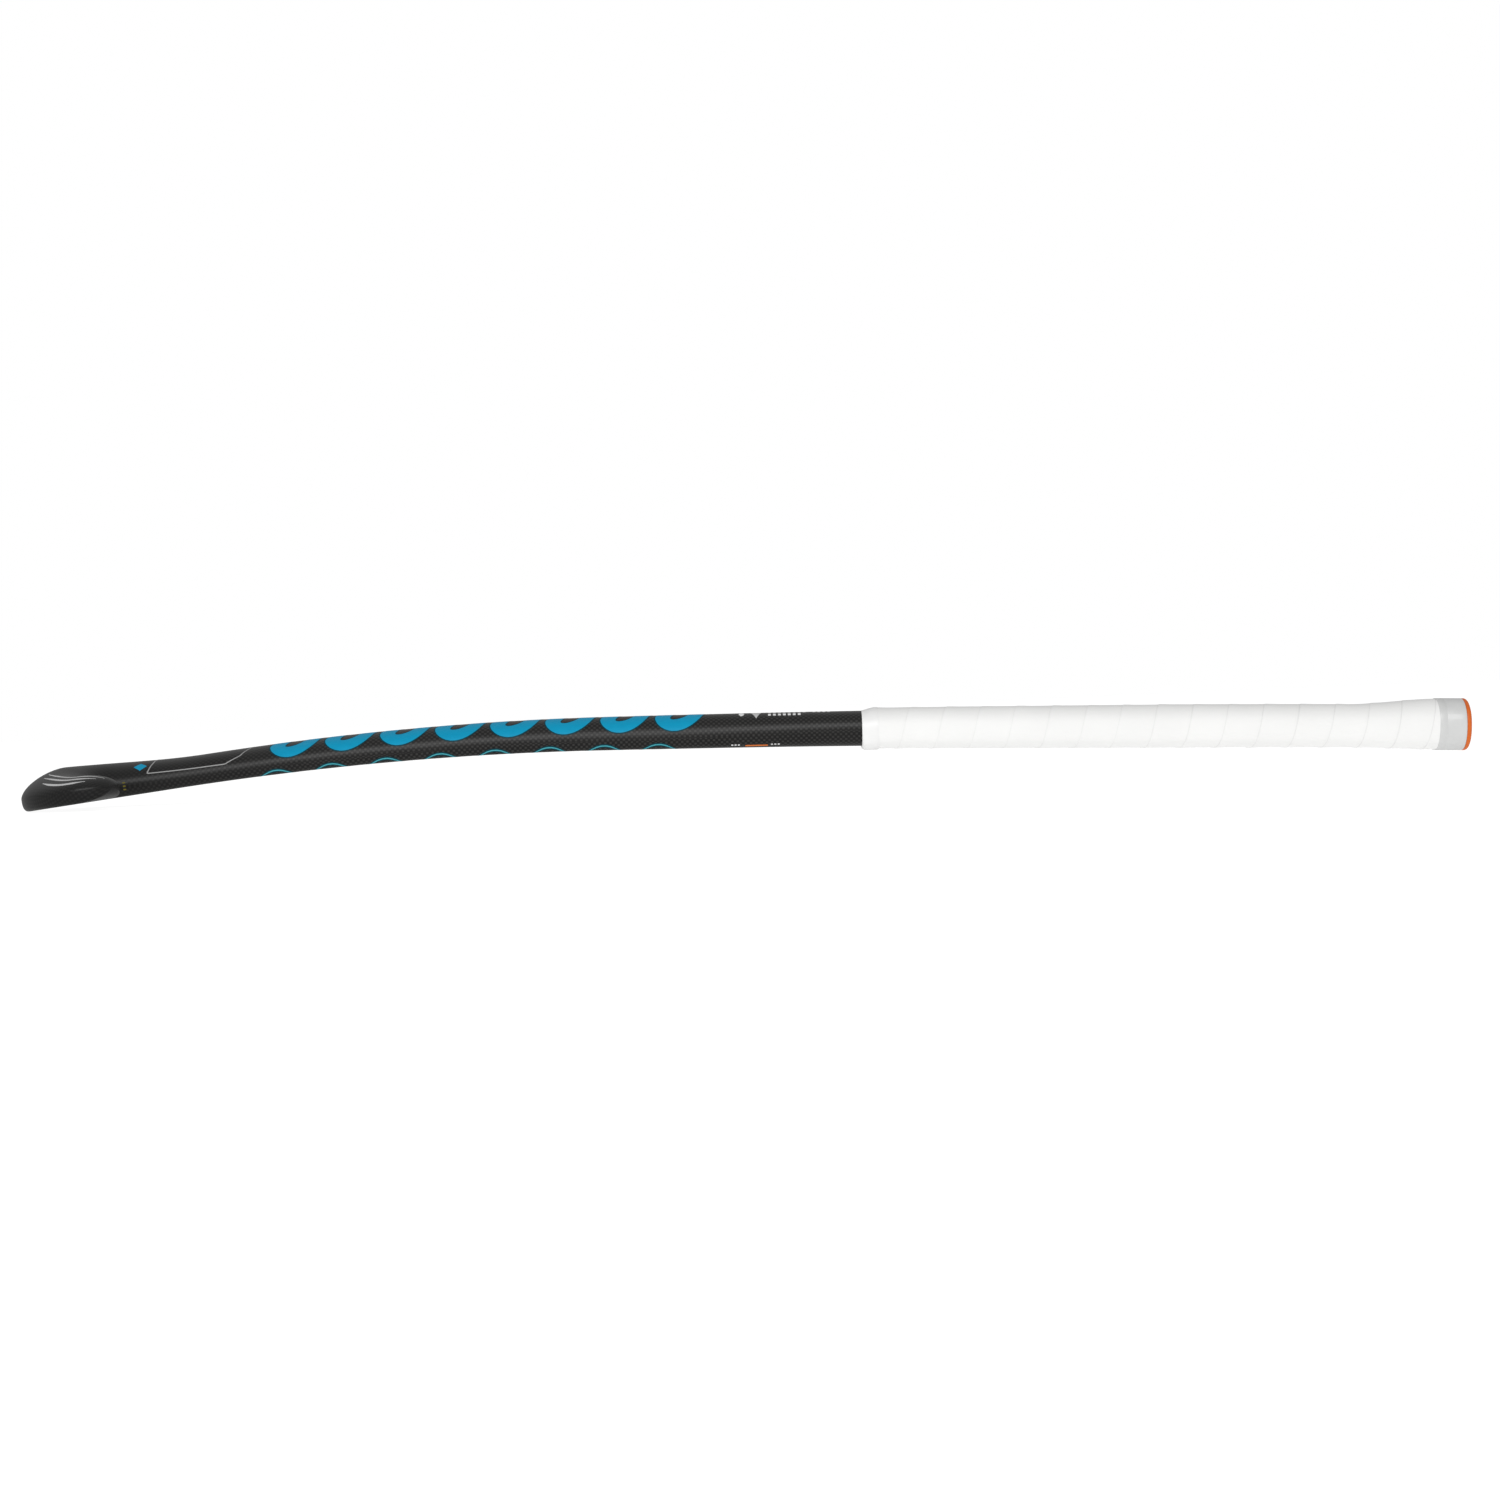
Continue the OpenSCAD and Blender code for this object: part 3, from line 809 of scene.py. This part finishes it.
def face_outline():
    """A winding shape like it on the playing face, as two thin lines that reach up its edges."""
    first, pitch, loops, gap = 158.5, 35.0, 8, 8.0
    for name, inset in (("outer", 0.0), ("inner", gap)):
        def reach(q, inset=inset):
            return half_girth(q) - girth_at(q, 1.3) - inset

        path = meander(first, pitch, loops, 26.0 - inset, reach, 0.0)
        strip(f"face_line_{name}", path, 0.8, 0.06, LINE_INK, face=True)
        strip(f"face_rim_{name}", path, 2.4, 0.035, TEAL_INK, face=True)


back_ribbon()
face_outline()


def head_marks():
    """A long panel outline above the head, ripples along the hook, a lozenge and three ticks."""
    side = [(82.0, 0.0), (80.5, -12.0), (77.2, -23.0), (127.0, -23.7), (136.5, -18.2),
            (142.0, -8.3)]
    path = side + [(143.5, 0.0)] + [(q, -g) for q, g in side[:0:-1]] + side[:1]
    strip("head_panel", path, 0.8, 0.045, GREY_INK, closed=True)
    ripples = [(-54.0, -4.0, 2.5), (-51.0, -10.0, 8.5), (-47.0, -18.0, 14.5)]
    for k, (start, end, g) in enumerate(ripples):
        path = [(q, g + 1.6 * math.sin((q - start) / 7.0)) for q in np.linspace(start, end, 40)]
        strip(f"hook_ripple_{k + 1}", path, [0.5, 2.2, 2.2, 2.2, 0.5], 0.06, PALE_INK)
    for k, g in enumerate((-27.9, -30.1, -32.3)):
        strip(f"yellow_tick_{k + 1}", [(61.2, g), (63.0, g)], 0.9, 0.04, YELLOW_INK, spacing=0.6)
    strip("blue_lozenge", [(68.4, -15.5), (76.6, -15.5)], [0.4, 9.0, 0.4], 0.045, BLUE_INK,
          spacing=0.5)


head_marks()


def handle_marks():
    """Small ticks, a dot, a triangle and a bar below the grip."""
    for row, (g, count, tall) in enumerate(((-3.0, 13, 1.8), (-7.8, 7, 3.0))):
        for k in range(count):
            if (k + row) % 9 != 8:
                q = 474.5 + 3.2 * k
                strip(f"tick_{row + 1}_{k + 1}", [(q, g), (q + 1.8, g)], tall, 0.05, WHITE_INK,
                      spacing=0.6)
    strip("round_mark", [(457.3, -2.5), (457.3, -9.0)], [1.0, 3.0, 3.6, 3.0, 1.0], 0.05, WHITE_INK,
          spacing=0.5)
    strip("triangle_mark", [(466.8, -2.0), (466.8, -12.0)], [7.5, 0.3], 0.05, PALE_INK,
          spacing=0.5)
    for k, q in enumerate((450.5, 452.6, 454.7, 476.0, 478.2, 480.4)):
        strip(f"edge_tick_{k + 1}", [(q, -31.6), (q + 1.3, -31.6)], 1.0, 0.04, WHITE_INK,
              spacing=0.6)
    strip("edge_bar", [(459.5, -32.6), (474.0, -32.6)], 1.6, 0.04, ORANGE_INK)


handle_marks()


# ---- CAD pieces inside the stick keep their shape and get a finish

def finish_inside():
    finishes = {
        "inner_carbon": ((0.03, 0.03, 0.032), (0.06, 0.06, 0.063), 400.0, 0.6, 0.0001),
        "aramid_ply": ((0.50, 0.34, 0.07), (0.66, 0.48, 0.12), 700.0, 0.7, 0.0002),
        "core_foam": ((0.70, 0.64, 0.48), (0.82, 0.76, 0.60), 500.0, 0.9, 0.0003),
    }
    looks = {name: plain_material(name, *values) for name, values in finishes.items()}
    slots = {"toe_side_tube": "inner_carbon", "heel_side_tube": "inner_carbon",
             "head_reinforcement": "aramid_ply", "head_core": "core_foam", "butt_plug": "core_foam"}
    for name, slot in slots.items():
        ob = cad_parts[name]
        for place in ob.material_slots:
            place.material = looks[slot]


finish_inside()


# ---- Floor and light

def studio():
    """White floor and backdrop, an even soft surround and one long soft light over the camera."""
    scene = bpy.context.scene
    scene.view_settings.view_transform = "Standard"
    world = bpy.data.worlds.new("studio")
    scene.world = world
    world.use_nodes = True
    world.node_tree.nodes["Background"].inputs["Color"].default_value = rgba(1, 1, 1)
    world.node_tree.nodes["Background"].inputs["Strength"].default_value = 0.42

    side = 9.0
    corners = [(-side, -side, 0), (side, -side, 0), (side, side, 0), (-side, side, 0)]
    floor = mesh_object("floor", corners, [(0, 1, 2, 3)], smooth=False)
    below = 0.0003
    floor.location.z = cad_box[0][2] - below
    floor.visible_glossy = False
    paper, _, _ = principled("floor_white", Roughness=0.9, Base_Color=rgba(0.2, 0.2, 0.2),
                             Emission_Color=rgba(1, 1, 1), Emission_Strength=0.94)
    floor.data.materials.append(paper)

    n, rows, radius = 24, 12, 10.0
    dome_points = [(radius * math.cos(b) * math.cos(a), radius * math.cos(b) * math.sin(a),
                    radius * math.sin(b)) for b in np.linspace(-0.3, math.pi / 2 - 0.05, rows)
                   for a in np.linspace(0, 2 * math.pi, n, endpoint=False)]
    faces = quads(rows, n, flip=True) + [tuple((rows - 1) * n + j for j in range(n))[::-1]]
    backdrop = mesh_object("backdrop", dome_points, faces)
    for rays in ("diffuse", "glossy", "transmission", "volume_scatter", "shadow"):
        setattr(backdrop, "visible_" + rays, False)
    white, _, _ = principled("backdrop_white", Base_Color=rgba(0, 0, 0), Specular_IOR_Level=0.0,
                             Emission_Color=rgba(1, 1, 1), Emission_Strength=1.0)
    backdrop.data.materials.append(white)

    lamp = bpy.data.lights.new("key", "AREA")
    lamp.shape, lamp.size, lamp.size_y, lamp.energy = "RECTANGLE", 2.4, 0.9, 26.5
    key = bpy.data.objects.new("key", lamp)
    scene.collection.objects.link(key)
    key.location = (-0.1, -1.7, 1.25)
    key.rotation_euler = (-Vector(key.location)).to_track_quat("-Z", "Y").to_euler()


studio()
